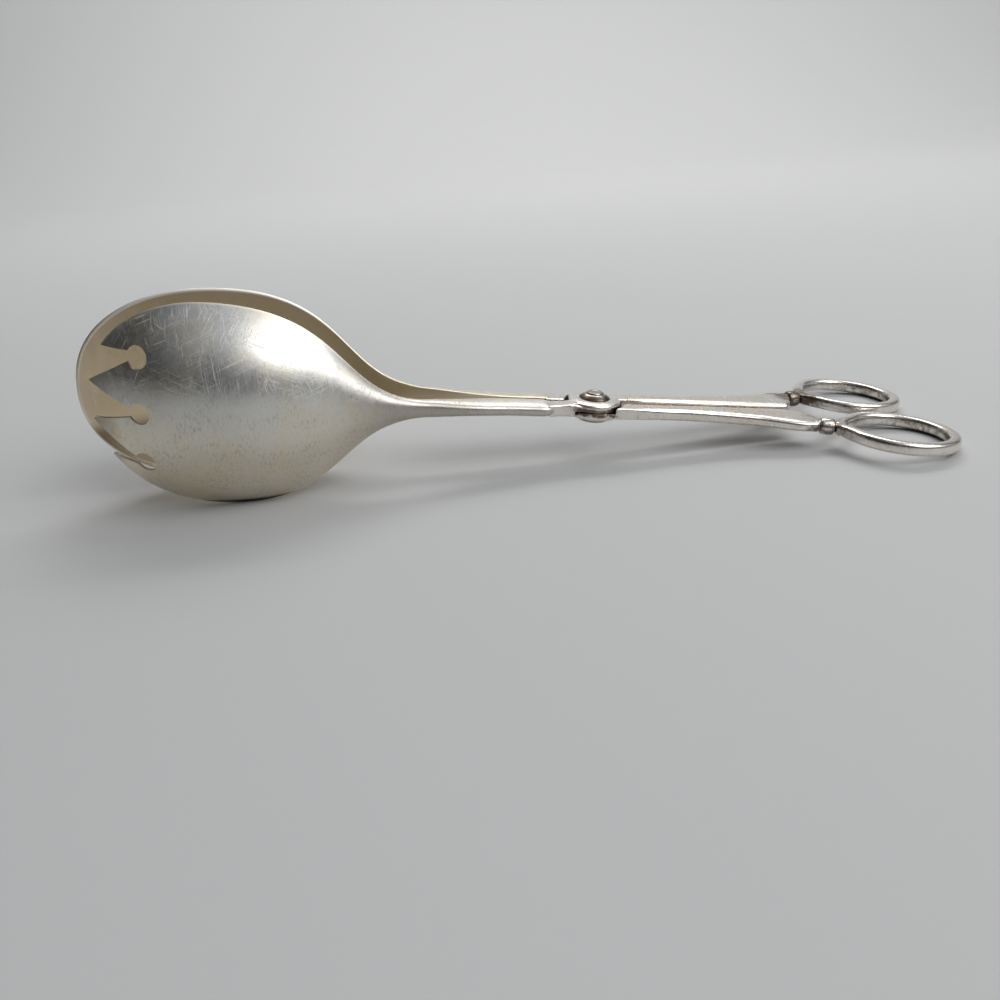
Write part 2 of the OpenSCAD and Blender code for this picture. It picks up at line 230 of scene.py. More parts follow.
INNER_KNOTS = [(SHOULDER_X, SHANK_GAP / 2), (PART_X, SHANK_GAP / 2 + PART_GAP),
               (FLARE_X, FLARE_SHARE * BELLY_GAP), (SWELL_X, SWELL_SHARE * BELLY_GAP),
               (BELLY_X, BELLY_GAP / 2), (TOE_X, BELLY_GAP / 2 - TOE_SHARE * (BELLY_GAP - TIP_GAP)),
               (SPOON_REACH, TIP_GAP / 2)]


def inner_face(s):
    """Distance of a lever's inner face from the middle of the tongs."""
    return curve(INNER_KNOTS, s)


def back_depth(s):
    """Depth of the outside behind the rim, along the middle."""
    return (STRIP_T + (SHANK_W - STRIP_T - RIM_BACK) * (1 - ease(PART_X, DISH_X, s))
            + (BOWL_DEPTH - STRIP_T) * ease(DISH_X - DISH_LEAD, FULL_X, s))


def dish_depth(s):
    """Depth of the hollow, along the middle."""
    return HOLLOW * ease(DISH_X, FULL_X, s)


print("hollow", round(HOLLOW, 2), "mm deep in sheet of", SHEET_T, "mm")

# %% Stations along a bowl: the shank, the heel and the tip
SHOULDER_ROWS, BAR_ROWS, HEEL_ROWS, TIP_ROWS = 15, 34, 64, 56
TIP_STOP, TIP_CROWD, TIP_RIM_SHARE = 0.994, 1.25, 0.4


def stations(reach, power):
    """Rows of distance, half width and depth, for the outside and then for the inside."""
    s = np.concatenate([SHOULDER_X + SHOULDER_SOFT * np.linspace(0, 1, SHOULDER_ROWS) ** 2,
                        np.linspace(SHOULDER_X + SHOULDER_SOFT, HEEL_X, BAR_ROWS)[1:-1]])
    half = SHANK_T / 2 + (HEEL_HALF - SHANK_T / 2) * (np.maximum(s - BAR_X, 0) / (HEEL_X - BAR_X)) ** 2
    bar = np.stack([s, half, back_depth(s), s, half - EDGE_W, 0 * s], 1)
    t = np.linspace(0, 1, HEEL_ROWS)[:, None]
    u = 1 - t
    widest = (BOWL_WIDEST, BOWL_HALF)
    path = ((HEEL_X, HEEL_HALF), HEEL_PULL, (BOWL_WIDEST - BELLY_PULL, BOWL_HALF), widest)
    p = sum(np.array(c) * w for c, w in zip(path, (u ** 3, 3 * u * u * t, 3 * u * t * t, t ** 3)))
    t = t[:, 0]
    heel = np.stack([p[:, 0], p[:, 1], back_depth(p[:, 0]), p[:, 0],
                     p[:, 1] - EDGE_W - (RIM_W - EDGE_W) * t, dish_depth(p[:, 0])], 1)
    # The tip's rows stand closer together towards its end, and stop just short of it
    a = np.radians(90 * (1 - (1 - np.linspace(0, TIP_STOP, TIP_ROWS)[1:]) ** TIP_CROWD))
    u, v, n = np.sin(a) ** (2 / power), np.cos(a) ** (2 / power), reach - BOWL_WIDEST
    swell = 1 - u ** BULGE_CURVE
    half = BOWL_HALF * v
    tip = np.stack([BOWL_WIDEST + n * u, half, BOWL_DEPTH * swell, BOWL_WIDEST + (n - RIM_W) * u,
                    half - np.minimum(RIM_W, TIP_RIM_SHARE * half), HOLLOW * swell], 1)
    return np.concatenate([bar, heel, tip])


print("sections", len(stations(SPOON_REACH, SPOON_POWER)), "in a bowl and its shank")

# %% Skin of a bowl over its sections
SIDES = 60
RIM_STEPS, RIM_ROUND, RIM_LIFT = (0.2, 0.5, 0.8), 0.22, (0.6, 0.8)
END_DRAWN = 0.7
BAR_POWER, BOWL_POWER, BOWL_DEPTH_POWER = 3.0, 2.6, 1.0


def section(q):
    """One closed section: the outside from edge to edge, over the rim, and the inside back again."""
    s, half, back, s_in, half_in, dish = q
    # A squarish bar turns into a thin bowl, so the powers of its arc fall, across and in depth
    m = ease(SOFT_X, ROUND_X, s)
    a, b = [2 / (BAR_POWER - (BAR_POWER - end) * m) for end in (BOWL_POWER, BOWL_DEPTH_POWER)]
    k = math.sqrt(1 - END_DRAWN * max(1 - (s - SHOULDER_X) / SHOULDER_SOFT, 0) ** 2)
    t = np.radians(np.linspace(-90, 90, SIDES + 1))
    cos_t = np.maximum(np.cos(t), 0) ** b
    sin_t = signed_power(np.sin(t), a)
    middle = inner_face(s) + (RIM_BACK + back) / 2 if s < PART_X else inner_face(s)
    y_out = -inner_face(s) - RIM_BACK - back * cos_t
    y_in = -inner_face(s_in) - dish * cos_t
    y_out = -middle + (y_out + middle) * k
    y_in = -middle + (y_in + middle) * k
    outside = np.stack([0 * t - s, y_out, half * k * sin_t], 1)
    inside = np.stack([0 * t - s_in, y_in, half_in * k * sin_t], 1)[::-1]
    rims = []
    for start, end, way in ((outside[-1], inside[0], 1.0), (inside[-1], outside[0], -1.0)):
        width = np.linalg.norm(end - start)
        # The rim bulges towards the other bowl and outwards
        lift = np.array([0.0, RIM_LIFT[0], RIM_LIFT[1] * way]) * RIM_ROUND * width
        rims.append(np.array([start + (end - start) * f + lift * 4 * f * (1 - f) for f in RIM_STEPS]))
    return np.concatenate([outside, rims[0], inside, rims[1]])


def bowl_mesh(name, reach, power):
    """The skin of one bowl and its shank."""
    rows = [section(q) for q in stations(reach, power)]
    return outward(raw_mesh(name, *loft(rows)))


spoon_mesh = bowl_mesh("spoon_bowl_skin", SPOON_REACH, SPOON_POWER)
fork_mesh = bowl_mesh("fork_bowl_skin", FORK_REACH, FORK_POWER)
print("bowl skins", len(spoon_mesh.vertices), "and", len(fork_mesh.vertices), "points")

# %% [markdown]
# ## The fork's slots
# A press punched three keyhole slots through the fork, which leave four tines. A punch goes straight through,
# so each slot is a straight prism that a Boolean takes away from the skin.

# %% Punch the slots
KEYHOLE_R, SLOT_W, SLOT_PITCH, KEYHOLE_BACK = 3.1, 2.8, 15.3, 17.0
INNER_TINE = (-FORK_REACH + 0.3, 0.37 * SLOT_PITCH)
OUTER_TINE = (-FORK_REACH + 4.7, 1.05 * SLOT_PITCH)
NECK_LAP, RUN_OUT, PUNCH_Y = 0.4, 3, (-50.0, 4.0)


def slot_outline(z, low, high):
    """A round hole that opens towards the points of the tines on either side, and runs out past them."""
    x = -FORK_REACH + KEYHOLE_BACK
    neck = x - KEYHOLE_R + NECK_LAP
    start = math.atan2(SLOT_W / 2, neck - x)
    arc = [(x + KEYHOLE_R * math.cos(a), z + KEYHOLE_R * math.sin(a)) for a in np.linspace(start, -start, 40)]
    low_end = np.array([neck, z - SLOT_W / 2]) + RUN_OUT * (np.array(low) - [neck, z - SLOT_W / 2])
    high_end = np.array([neck, z + SLOT_W / 2]) + RUN_OUT * (np.array(high) - [neck, z + SLOT_W / 2])
    return [tuple(high_end), *arc, tuple(low_end)]


def flipped(tine):
    """The same tine on the other side of the fork."""
    return (tine[0], -tine[1])


def apply_modifiers(mesh, *settings):
    """Runs modifiers on a mesh in lever mm and returns the new mesh."""
    work = bpy.data.objects.new("work", mesh)
    bpy.context.scene.collection.objects.link(work)
    for kind, values in settings:
        modifier = work.modifiers.new(kind, kind)
        for key, value in values.items():
            setattr(modifier, key, value)
    graph = bpy.context.evaluated_depsgraph_get()
    result = bpy.data.meshes.new_from_object(work.evaluated_get(graph))
    bpy.data.objects.remove(work)
    return result


outlines = [slot_outline(0.0, flipped(INNER_TINE), INNER_TINE),
            slot_outline(SLOT_PITCH, INNER_TINE, OUTER_TINE),
            slot_outline(-SLOT_PITCH, flipped(OUTER_TINE), flipped(INNER_TINE))]
punch_points, punch_faces = [], []
for outline in outlines:
    points, faces = loft([[(x, y, z) for x, z in outline] for y in PUNCH_Y])
    punch_faces += [tuple(i + len(punch_points) for i in f) for f in faces]
    punch_points += list(points)
punch = bpy.data.objects.new("punch", outward(raw_mesh("punch", punch_points, punch_faces)))
bpy.context.scene.collection.objects.link(punch)
cut = {"operation": "DIFFERENCE", "solver": "EXACT", "object": punch}
fork_mesh = apply_modifiers(fork_mesh, ("BOOLEAN", cut))
bpy.data.objects.remove(punch)
print("fork after punching", len(fork_mesh.vertices), "points")

# %% [markdown]
# ## Where the bowls wear, and where shade is painted on them
# The rim is rubbed bright, and the hollow keeps its tarnish, a yellow film whose colour is also painted
# lighter, most in the spoon, to stand in for the light the hollow lacks. Shade is painted darker into the
# heel of the hollow, and low in the hollow on the side that lies lower. The shank, the heel and the tips of
# the tines are dull, and the lower half of the outside has more film. These places are known from the shape,
# so each point of a bowl carries six numbers that its finish reads, and each face of the fork says whether it
# is a wall of a slot.

# %% Wear and painted shade on the bowls, as numbers on points and faces
# Each pair says where a mark begins and where it is full or gone: S in mm from the rivet, Z in mm across the
# bowl, TIP in mm from its end, OVER in mm round its edge, SHARE of the half width or of the sheet
RIM_SHARE, RIM_S, RIM_TIP, RIM_OVER = (0.93, 0.985), (58, 80), (1.4, 0.5), (-0.2, 0.25)
INNER_SHARE, HEEL_S, HEEL_END_S = (0.35, 0.65), (36, 50), (62, 92)
DULL_S, DULL_END_S, DULL_TIP = (30, 48), (60, 84), (12, 1)
# The first two pairs place the shade that is painted low in the hollow, across the bowl and from the rivet
LOW_SHADE_Z, LOW_SHADE_S, FILM_Z = (10, 15), (112, 135), (-6, 10)
SHANK_DULL, HEEL_DULL, TIP_DULL = 0.35, 0.2, 0.8
WALL_TILT, WALL_OFF_MM, LEAST_MM = 0.2, 0.05, 0.2


def mark(mesh, name, values, domain="POINT"):
    """Writes one number per point or face, for a finish to read."""
    layer = mesh.attributes.new(name, "FLOAT", domain)
    layer.data.foreach_set("value", np.asarray(values, np.float32))


def mark_bowl(mesh, reach, power, low_side, over):
    """Marks the wear of a bowl, and where shade is painted on it.

    Low_side is the sign of Z on the side that lies lower, and over says how far the rubbed rim goes over the
    edge, in mm.
    """
    p = points_of(mesh)
    q = stations(reach, power)
    s = -p[:, 0]
    half = np.interp(s, q[:, 0], q[:, 1])
    v = np.abs(p[:, 2]) / np.maximum(half, LEAST_MM)
    at_tip = ease(reach - RIM_TIP[0], reach - RIM_TIP[1], s)
    rim = np.maximum(ease(*RIM_SHARE, v) * ease(*RIM_S, s), at_tip)
    rim *= ease(*RIM_OVER, p[:, 1] + inner_face(s) + RIM_BACK + over)
    bulge = np.maximum(1 - np.minimum(v, 1) ** BULGE_CURVE, 0)
    depth = -p[:, 1] - inner_face(np.minimum(s, SPOON_REACH))
    outer = RIM_BACK + np.interp(s, q[:, 0], q[:, 2]) * bulge
    inner = np.interp(s, q[:, 0], q[:, 5]) * bulge
    hollow = 1 - ease(*INNER_SHARE, (depth - inner) / np.maximum(outer - inner, LEAST_MM))
    heel = ease(*HEEL_S, s) * (1 - ease(*HEEL_END_S, s))
    dull = SHANK_DULL + HEEL_DULL * ease(*DULL_S, s) - (SHANK_DULL + HEEL_DULL) * ease(*DULL_END_S, s)
    tips = np.maximum(TIP_DULL * ease(reach - DULL_TIP[0], reach - DULL_TIP[1], s), dull) * (1 - rim)
    # Painted shade low in the hollow, on the side that lies lower and towards the tip
    low_hollow_shade = hollow * ease(*LOW_SHADE_Z, low_side * p[:, 2]) * ease(*LOW_SHADE_S, s)
    filmed = ease(*FILM_Z, low_side * p[:, 2])
    wear_and_shade = {"rim": rim, "hollow": hollow, "heel": heel, "tips": tips, "low_hollow_shade": low_hollow_shade, "filmed": filmed}
    for name, values in wear_and_shade.items():
        mark(mesh, name, values)


def mark_walls(mesh):
    """Marks the walls that the punch left: faces that lie along the punch and on an outline."""
    values = np.zeros(len(mesh.polygons), np.float32)
    lines = np.concatenate([np.stack([o[:-1], o[1:]], 1) for o in np.array(outlines)])
    start, run = lines[:, 0], lines[:, 1] - lines[:, 0]
    for i, face in enumerate(mesh.polygons):
        middle = np.array([face.center.x, face.center.z])
        t = np.clip(((middle - start) * run).sum(1) / (run * run).sum(1), 0, 1)
        off = np.linalg.norm(middle - start - run * t[:, None], axis=1).min()
        values[i] = abs(face.normal.y) < WALL_TILT and off < WALL_OFF_MM
    mark(mesh, "wall", values, "FACE")
    print("slot walls", int(values.sum()), "faces")


outward(fork_mesh)
outward(spoon_mesh)
mark_bowl(fork_mesh, FORK_REACH, FORK_POWER, low_side=-1, over=0.4)
mark_bowl(spoon_mesh, SPOON_REACH, SPOON_POWER, low_side=1, over=1.6)
mark_walls(fork_mesh)
settle(fork_mesh, "fork_bowl", False)
settle(spoon_mesh, "spoon_bowl", True)

# %% [markdown]
# ## The handles
# A handle is one casting: a flat neck, half a lap joint with its disc, and an arm that widens to a paddle.
# The disc is nearly flat with a rounded lip, and the neck is drawn in before it and ramps up to it. Filing
# and years of use rounded every edge. Shells of the plain forms overlap, a voxel remesh at 0.2 mm makes one
# skin of them, and a few rounds of smoothing soften its edges as polishing does.

# %% Sizes of the pivot and the arms
DISC_R, LAP_TOP, BOSS_H, LAP_GAP, STEP_GAP = 8.1, 1.75, 1.1, 0.2, 1.2
NECK_INSET, ROOT_INSET, NECK_IN_SHANK = 1.3, 0.4, 1.6
STEP_R = DISC_R + STEP_GAP
RIVET_R, RIVET_PLAY = 2.0, 0.05
SEAT_Z = LAP_TOP + BOSS_H
ARM_W, ARM_T, PADDLE_W, ARM_IN, ARM_END_W = 5.7, 3.7, 13.6, 2.1, 4.2
RING_REACH, RING_RO, RING_RI, RING_T, RING_GAP, RING_TILT_DEG = 91.5, 17.5, 13.8, 3.9, 2.6, 2.0
RING_Y = RING_RO + RING_GAP / 2
COLLAR_R, COLLAR_L, GROOVE_W, GROOVE_D, ROOT_L = 2.6, 4.4, 0.6, 0.9, 1.4
COLLAR_RUN = 2 * GROOVE_W + COLLAR_L
PADDLE_FALL, ROOT_RUN, ARM_PAST = 0.2, 1.2, 0.6
END_OUT = ARM_IN + PADDLE_W - PADDLE_FALL
END_NEAR = END_OUT - ARM_END_W
STEM_RUN = COLLAR_RUN + ROOT_L
STEM_Y = END_OUT - ARM_END_W / 2
STEM_X = RING_REACH - math.sqrt((STEM_RUN + RING_RO) ** 2 - (RING_Y - STEM_Y) ** 2)
STEM_DIR = math.atan2(RING_Y - STEM_Y, RING_REACH - STEM_X)
ARM_START, ARM_END = STEP_R + ROOT_RUN, STEM_X + ARM_PAST
SLIM_X, PADDLE_X = ARM_START + 6.8, ARM_END - 6
EVEN_X, WIDEN_X = SLIM_X + 12, PADDLE_X - 13
TURN_X, DRAW_X, NEAR_X = PADDLE_X + 1, PADDLE_X + 3.2, PADDLE_X + 4.7
EVEN_SWELL, ROOT_LOW, BLEND_UP, BLEND_ROUND = 0.4, 0.05, 4.8, 8.8
WIDEN_SHARE, DRAW_SHARE, NEAR_SHARE, ROOT_POWER, ARM_POWER = 0.68, 0.16, 0.55, 0.15, 0.5
ARM_OUT = [(ARM_START, DISC_R - ROOT_INSET), (SLIM_X, ARM_IN + ARM_W), (EVEN_X, ARM_IN + ARM_W + EVEN_SWELL),
           (WIDEN_X, ARM_IN + WIDEN_SHARE * PADDLE_W), (PADDLE_X, ARM_IN + PADDLE_W), (ARM_END, END_OUT)]
ARM_NEAR = [(ARM_START, ARM_IN + ROOT_INSET), (SLIM_X, ARM_IN), (TURN_X, ARM_IN),
            (DRAW_X, ARM_IN + DRAW_SHARE * (END_NEAR - ARM_IN)),
            (NEAR_X, ARM_IN + NEAR_SHARE * (END_NEAR - ARM_IN)), (ARM_END, END_NEAR)]


def arm_half(x):
    """Half the arm's height."""
    return LAP_TOP - ROOT_LOW + (ARM_T / 2 - LAP_TOP + ROOT_LOW) * ease(ARM_START, ARM_START + BLEND_UP, x)


def arm_section(x, n=48):
    """One section of the arm, square by the disc and rounder towards the paddle."""
    a, b = curve(ARM_NEAR, x), curve(ARM_OUT, x)
    p = ROOT_POWER + (ARM_POWER - ROOT_POWER) * ease(ARM_START, ARM_START + BLEND_ROUND, x)
    t = np.radians(-90 + (np.arange(n) + 0.5) * 360 / n)
    y = (a + b) / 2 + (b - a) / 2 * signed_power(np.cos(t), p)
    z = arm_half(x) * signed_power(np.sin(t), p)
    return np.stack([np.minimum(x, STEM_X - (y - STEM_Y) * math.tan(STEM_DIR)), y, z], 1)


def prism(outline, low, high):
    """An outline in X and Y, from one height to another."""
    return loft([[(x, y, z) for x, y in outline] for z in (low, high)])


print("arm from", round(ARM_START, 1), "to", round(ARM_END, 1), "mm, stem at",
      round(math.degrees(STEM_DIR), 1), "degrees")

# %% Outlines of the disc and the neck
SEAT_R, DISC_FALL, LIP_R = 5.0, 0.35, 0.8
WAIST, WAIST_X, WAIST_HALF = 0.9, -10.0, 4.5
RAMP_FOOT_X, RAMP_BEND_X, RAMP_TOP_X, RAMP_SUNK, RAMP_RISE = -12.5, -9.5, -6.5, 0.4, 0.15
RAMP = [(RAMP_FOOT_X, LAP_TOP - RAMP_SUNK), (RAMP_FOOT_X, LAP_TOP), (RAMP_BEND_X, LAP_TOP + RAMP_RISE),
        (RAMP_TOP_X, SEAT_Z - DISC_FALL), (RAMP_TOP_X, LAP_TOP - RAMP_SUNK)]


def disc_profile(bore):
    """The half-lap disc, nearly flat on top with a rounded lip, as a closed ring profile."""
    r = np.linspace(DISC_R - LIP_R, SEAT_R, 8)
    top = SEAT_Z - DISC_FALL * ((r - SEAT_R) / (DISC_R - LIP_R - SEAT_R)) ** 2
    a = np.linspace(math.pi / 2, 0, 9)[:-1]
    lip = zip(DISC_R - LIP_R + LIP_R * np.sin(a), SEAT_Z - DISC_FALL - LIP_R + LIP_R * np.cos(a))
    return [(bore, LAP_GAP / 2), (DISC_R, LAP_GAP / 2), *lip, *zip(r, top), (bore, SEAT_Z)]


def neck_edge(x):
    """Outer edge of the neck, which is drawn in between the shank and the disc."""
    return NECK_INSET - DISC_R + WAIST * np.maximum(1 - ((x - WAIST_X) / WAIST_HALF) ** 2, 0)


def step_arc(y_values, side):
    """The arc of the step that clears the other lever's disc."""
    return [(side * math.sqrt(STEP_R ** 2 - y * y), y) for y in y_values]


print("neck", round(float(-neck_edge(WAIST_X) - SHANK_GAP / 2), 2), "mm wide at its waist")

# %% Shells of a handle, remeshed into one casting
VOXEL_MM = 0.2
PAST_BORE, LAP_OVER, RAMP_IN = 0.2, 0.05, 0.2


def handle_mesh(name, bore):
    """The casting of one lever, with its bore."""
    neck_in, neck_x = -SHANK_GAP / 2, -SHOULDER_X - NECK_IN_SHANK
    root_x, root_out = ARM_START + STEP_GAP / 2, DISC_R - ROOT_INSET
    run = np.linspace(neck_x, -bore - PAST_BORE, 40)
    edge = list(zip(run, neck_edge(run)))
    outside = [(x, y) for x, y in edge if math.hypot(x, y) > STEP_R + LAP_OVER]
    shells = [
        lathe(disc_profile(bore)),
        loft([[(x, y, z) for x, z in RAMP] for y in (neck_in, neck_edge(WAIST_X) + RAMP_IN)]),
        prism(edge + [(-bore - PAST_BORE, neck_in), (neck_x, neck_in)], LAP_GAP / 2, LAP_TOP),
        prism([(neck_x, neck_in), *outside, *step_arc(np.linspace(outside[-1][1], neck_in, 24), -1)],
              -LAP_TOP, LAP_GAP / 2 + LAP_OVER),
        prism([(0.0, ARM_IN), (root_x, ARM_IN), (root_x, root_out), (0.0, root_out)], LAP_GAP / 2, LAP_TOP),
        prism([*step_arc(np.linspace(ARM_IN, root_out, 24), 1), (root_x, root_out), (root_x, ARM_IN)],
              -LAP_TOP, LAP_GAP / 2 + LAP_OVER),
        loft([arm_section(x) for x in np.linspace(ARM_START, ARM_END, 220)])]
    points, faces = [], []
    for shell_points, shell_faces in shells:
        faces += [tuple(i + len(points) for i in f) for f in shell_faces]
        points += list(shell_points)
    return apply_modifiers(outward(raw_mesh(name, points, faces)),
                           ("REMESH", {"mode": "VOXEL", "voxel_size": VOXEL_MM}),
                           ("SMOOTH", {"factor": 0.5, "iterations": 5}))


# %% Stain on the handles, collars and rings
# The fork lever's collar is more stained than that of the spoon lever, which is the one turned over
COLLAR_STAIN = {False: 1.0, True: 0.5}
# Where stain is full and where it is gone, in mm from the collar, the rivet, the split and the ring's middle
BY_COLLAR, BY_DISC, BY_SPLIT = (3.0, 14.0), (DISC_R + 0.5, STEP_R + 1.5), (0.6, 1.8)
IN_RING, RING_FAR_X, RING_STAIN, RING_FAR_STAIN = (RING_RI + 0.3, RING_RI + 1.3), (-4, 10), 0.15, 0.25


def mark_stain(mesh, turned):
    """Marks brown stain round the collar, in the ring and along the split of the lap joint."""
    p = points_of(mesh)
    half_run = COLLAR_RUN / 2
    collar = [STEM_X + half_run * math.cos(STEM_DIR), STEM_Y + half_run * math.sin(STEM_DIR), 0.0]
    by_collar = COLLAR_STAIN[turned] * (1 - ease(*BY_COLLAR, np.linalg.norm(p - collar, axis=1)))
    by_disc = 1 - ease(*BY_DISC, np.hypot(p[:, 0], p[:, 1]))
    by_split = by_disc * (1 - ease(*BY_SPLIT, np.abs(p[:, 2])))
    from_middle = np.hypot(p[:, 0] - RING_REACH, p[:, 1] - RING_Y)
    far_side = RING_STAIN + RING_FAR_STAIN * ease(*RING_FAR_X, p[:, 0] - RING_REACH)
    in_ring = (1 - ease(*IN_RING, from_middle)) * far_side
    mark(mesh, "stain", np.maximum.reduce([by_collar, by_split, in_ring]))
    return mesh


for node, turned, bore in (("fork_handle", False, RIVET_R), ("spoon_handle", True, RIVET_R + RIVET_PLAY)):
    casting = outward(handle_mesh(node + "_skin", bore))
    settle(mark_stain(casting, turned), node, turned, sharp_deg=80)

# %% [markdown]
# ## The collars and finger rings
# A turned bead with a groove on each side joins the arm to its ring. The ring is a bent bar whose two ends
# flow together into a short root, so its skin runs round the ring and reaches outwards where the root is. The
# bar was bent by hand: the hole is a little drawn out towards the root, and the ring is tilted by two
# degrees.

# %% Collars
BEAD_CROWN, BEAD_EDGE, BEAD_EDGE_POWER, BEAD_FOOT = 0.25, 0.4, 10, 0.12
COLLAR_LAP, COLLAR_FOOT, GROOVE_SOFT = 0.3, 0.1, 0.15


def along_stem(points):
    """Points drawn with Z along the stem, set at the end of an arm."""
    p = np.asarray(points, float)
    c, s = math.cos(STEM_DIR), math.sin(STEM_DIR)
    return np.stack([STEM_X + p[:, 2] * c - p[:, 1] * s, STEM_Y + p[:, 2] * s + p[:, 1] * c, -p[:, 0]], 1)


def collar_profile():
    """A bead with a groove on each side."""
    neck = COLLAR_R - GROOVE_D
    t = np.linspace(-1, 1, 25)
    bead = [(COLLAR_R - BEAD_CROWN * x * x - BEAD_EDGE * abs(x) ** BEAD_EDGE_POWER,
             GROOVE_W + COLLAR_L * (x + 1) / 2) for x in t]
    half = [(0.0, -COLLAR_LAP), (neck + COLLAR_FOOT, -COLLAR_LAP), (neck, GROOVE_SOFT),
            (neck, GROOVE_W - GROOVE_SOFT), (neck + BEAD_FOOT, GROOVE_W)]
    return half + bead + [(r, COLLAR_RUN - z) for r, z in half[::-1]]


for node, turned in (("fork_collar", False), ("spoon_collar", True)):
    points, faces = lathe(collar_profile(), turns=64)
    bead = outward(raw_mesh(node + "_skin", along_stem(points), faces))
    settle(mark_stain(bead, turned), node, turned)

# %% Finger rings
RING_POWER = 3.2
ROOT_NEAR_DEG, ROOT_FAR_DEG, ROOT_CURVE, ROOT_LAP = 6.5, 28.0, 2.2, 0.5
HOLE_DRAWN, HOLE_DRAWN_DEG, FINE_DEG, ROOT_THIN = 2.0, 32.0, 32, 0.2


def ring_rows(n=36):
    """Sections of the bar round the ring, closer together at the root."""
    rows = []
    off_deg = np.concatenate([np.linspace(0, FINE_DEG, 45), np.linspace(FINE_DEG, 180, 80)[1:]])
    off_deg = np.concatenate([off_deg, -off_deg[-2:0:-1]])
    tilt = math.radians(RING_TILT_DEG)
    t = np.linspace(0, 2 * math.pi, n, endpoint=False)
    for off in off_deg:
        turn = STEM_DIR + math.pi + math.radians(off)
        past_root = (abs(off) - ROOT_NEAR_DEG) / (ROOT_FAR_DEG - ROOT_NEAR_DEG)
        flare = (1 - np.clip(past_root, 0, 1)) ** ROOT_CURVE
        outer = RING_RO + (ROOT_L + ROOT_LAP) * flare
        inner = RING_RI + HOLE_DRAWN * (1 - ease(0, HOLE_DRAWN_DEG, abs(off)))
        half_t = RING_T / 2 - ROOT_THIN * flare
        r = (outer + inner) / 2 + (outer - inner) / 2 * signed_power(np.cos(t), 2 / RING_POWER)
        z = half_t * signed_power(np.sin(t), 2 / RING_POWER)
        across = r * math.sin(turn)
        rows.append(np.stack([RING_REACH + r * math.cos(turn),
                              RING_Y + across * math.cos(tilt) + z * math.sin(tilt),
                              z * math.cos(tilt) - across * math.sin(tilt)], 1))
    return rows


for node, turned in (("fork_ring", False), ("spoon_ring", True)):
    bar = outward(raw_mesh(node + "_skin", *loft(ring_rows(), closed=True)))
    settle(mark_stain(bar, turned), node, turned)

# %% [markdown]
# ## The pivot
# A rivet passes both discs. On top, its end was spread into a small dished button over a domed washer, and
# below it was closed over a plain washer. All three are turned forms, so each is a profile spun about the
# rivet.

# %% Rivet and washers
DOME_R, DOME_H, BUTTON_R, BUTTON_H = 4.8, 1.4, 2.65, 0.5
WASHER_T, WASHER_EDGE, HEAD_H, HEAD_OVER = 0.9, 0.2, 0.8, 0.4
FOOT_H, FOOT_IN, FOOT_TOP = 0.12, 0.2, 0.25
SKIRT_IN, SKIRT_H, CROWN_RUN, FLANK_R = 0.35, 0.45, 1.95, (3.1, 4.0)
# The button's edge, as mm in from its radius and mm below its top, and how deep its middle is dished
BUTTON_EDGE = ((0.0, 0.4), (0.06, 0.2), (0.3, 0.04), (0.55, 0.0), (0.95, 0.14))
BUTTON_DISH, BUTTON_UNDER = 0.34, 0.1
ROUND = np.linspace(0, 1, 9)


def dome_profile():
    """A thin foot, a steep skirt and a rounded shoulder that slopes up to the button."""
    foot = [(RIVET_R, 0.0), (DOME_R, 0.0), (DOME_R, FOOT_H), (DOME_R - FOOT_IN, FOOT_TOP)]
    crown = [(DOME_R - SKIRT_IN - CROWN_RUN * f, SKIRT_H + (DOME_H - SKIRT_H) * (1.3 * f - 0.3 * f ** 4))
             for f in ROUND]
    return foot + crown + [(RIVET_R, DOME_H)]


def rivet_profile():
    """A round head below, the shank, and a dished button on top."""
    top, low = SEAT_Z + DOME_H, -SEAT_Z - LAP_GAP - WASHER_T
    button = [(BUTTON_R - inset, top + BUTTON_H - below) for inset, below in BUTTON_EDGE]
    head = [((BUTTON_R + HEAD_OVER) * math.cos(math.pi / 2 * f), low - HEAD_H * math.sin(math.pi / 2 * f))
            for f in ROUND[::-1]]
    shank = [(RIVET_R, low), (RIVET_R, top), (BUTTON_R - BUTTON_UNDER, top)]
    return head + shank + button + [(0.0, top + BUTTON_H - BUTTON_DISH)]


def burr_profile():
    """A plain washer with its outer edges taken off."""
    top, low = -SEAT_Z - LAP_GAP, -SEAT_Z - LAP_GAP - WASHER_T
    return [(RIVET_R, low), (DOME_R - WASHER_EDGE, low), (DOME_R, low + WASHER_EDGE),
            (DOME_R, top - WASHER_EDGE), (DOME_R - WASHER_EDGE, top), (RIVET_R, top)]


dome_mesh = outward(raw_mesh("dome_washer_skin", *lathe(np.array(dome_profile()) + [0, SEAT_Z])))
# The dome's flank is partly stained and partly painted darker, standing in for the dark reflection on its
# steep skirt
mark(dome_mesh, "stain", ease(*FLANK_R, np.hypot(*points_of(dome_mesh)[:, :2].T)))
settle(dome_mesh, "dome_washer", False)
settle(raw_mesh("pivot_rivet_skin", *lathe(rivet_profile())), "pivot_rivet", False)
settle(raw_mesh("burr_washer_skin", *lathe(burr_profile())), "burr_washer", False)

# %% [markdown]
# ## Silver plate
# The body is nickel silver, a white alloy of copper, nickel and zinc, and it was plated with silver and
# polished, so it mirrors what is round it. Years of use left hairline scratches that scatter the light, a
# warm sulphide film that deepens where polishing doesn't reach, flecks of grime, a brown stain by the joints,
# and rims that are rubbed bright. Light and shade are painted in as well: shade in the crevices and gaps, in
# the heel and the low part of a bowl's hollow and on the dome washer's flank, and light in the hollow's film
# colour. All of these lie in the surface and have no shape of their own, so each is a mask that changes the
# colour, the roughness or the bump, and one function makes every kind of plate.

